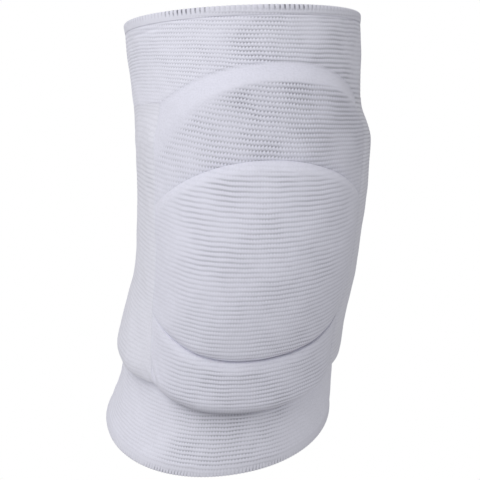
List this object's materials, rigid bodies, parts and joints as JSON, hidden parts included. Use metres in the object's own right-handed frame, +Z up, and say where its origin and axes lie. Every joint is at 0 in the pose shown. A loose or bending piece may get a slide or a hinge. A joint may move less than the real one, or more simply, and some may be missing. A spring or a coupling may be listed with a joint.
{
  "type": "knee pad",
  "caption": "Knitted volleyball knee pad: a stretch tube with padded front lobes, padded side panels and turned hems, in its worn form.",
  "frame": {"origin": "middle of the leg hollow at the height of the kneecap, where the knee sits", "axes": "+Z up along the leg towards the thigh, -Y towards the front where the pads are, +X to the right of someone facing the pads"},
  "size_m": [0.1385, 0.1438, 0.2446],
  "materials": {
    "sleeve_knit": "matte ribbed stretch knit",
    "pad_knit": "matte ribbed knit over foam",
    "side_knit": "matte ribbed knit over thin foam",
    "welt_knit": "matte overlocked turned hem"
  },
  "bodies": {
    "root": {"sleeve": "sleeve_knit", "upper_pad": "pad_knit", "knee_dome": "pad_knit", "lower_pad": "pad_knit", "side_panel_left": "side_knit", "side_panel_right": "side_knit", "top_welt": "welt_knit", "bottom_welt": "welt_knit"}
  },
  "joints": []
}
